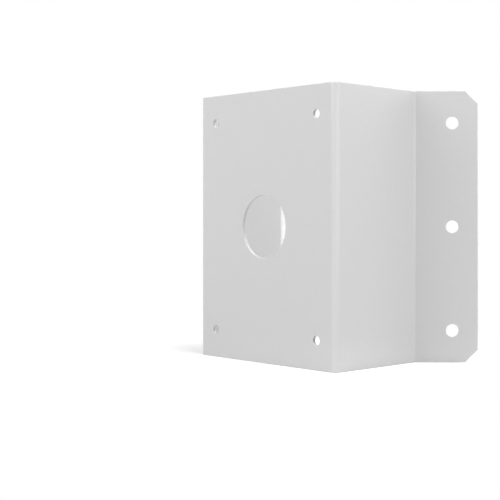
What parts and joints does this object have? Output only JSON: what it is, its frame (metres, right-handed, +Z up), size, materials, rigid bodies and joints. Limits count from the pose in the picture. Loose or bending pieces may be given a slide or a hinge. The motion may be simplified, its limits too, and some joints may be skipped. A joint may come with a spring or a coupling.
{
  "type": "camera corner mount bracket",
  "caption": "Folded sheet bracket that holds a camera on the outside corner of a building, with a cable hole in its front plate and fixing holes along its wall flanges.",
  "frame": {"origin": "Middle of the bounding box's underside. The bracket stands on the lower edge of its sheet, as it is used on the wall.", "axes": "+X to the right as seen from the front, along the front plate's width and the longest extent; +Y back towards the building, the shortest extent; +Z up. The camera plate faces -Y."},
  "size_m": [0.1806, 0.1002, 0.17],
  "materials": {
    "white_powder_coat": "white powder coat, fine texture, satin"
  },
  "bodies": {
    "root": {"corner_bracket": "white_powder_coat"}
  },
  "joints": []
}
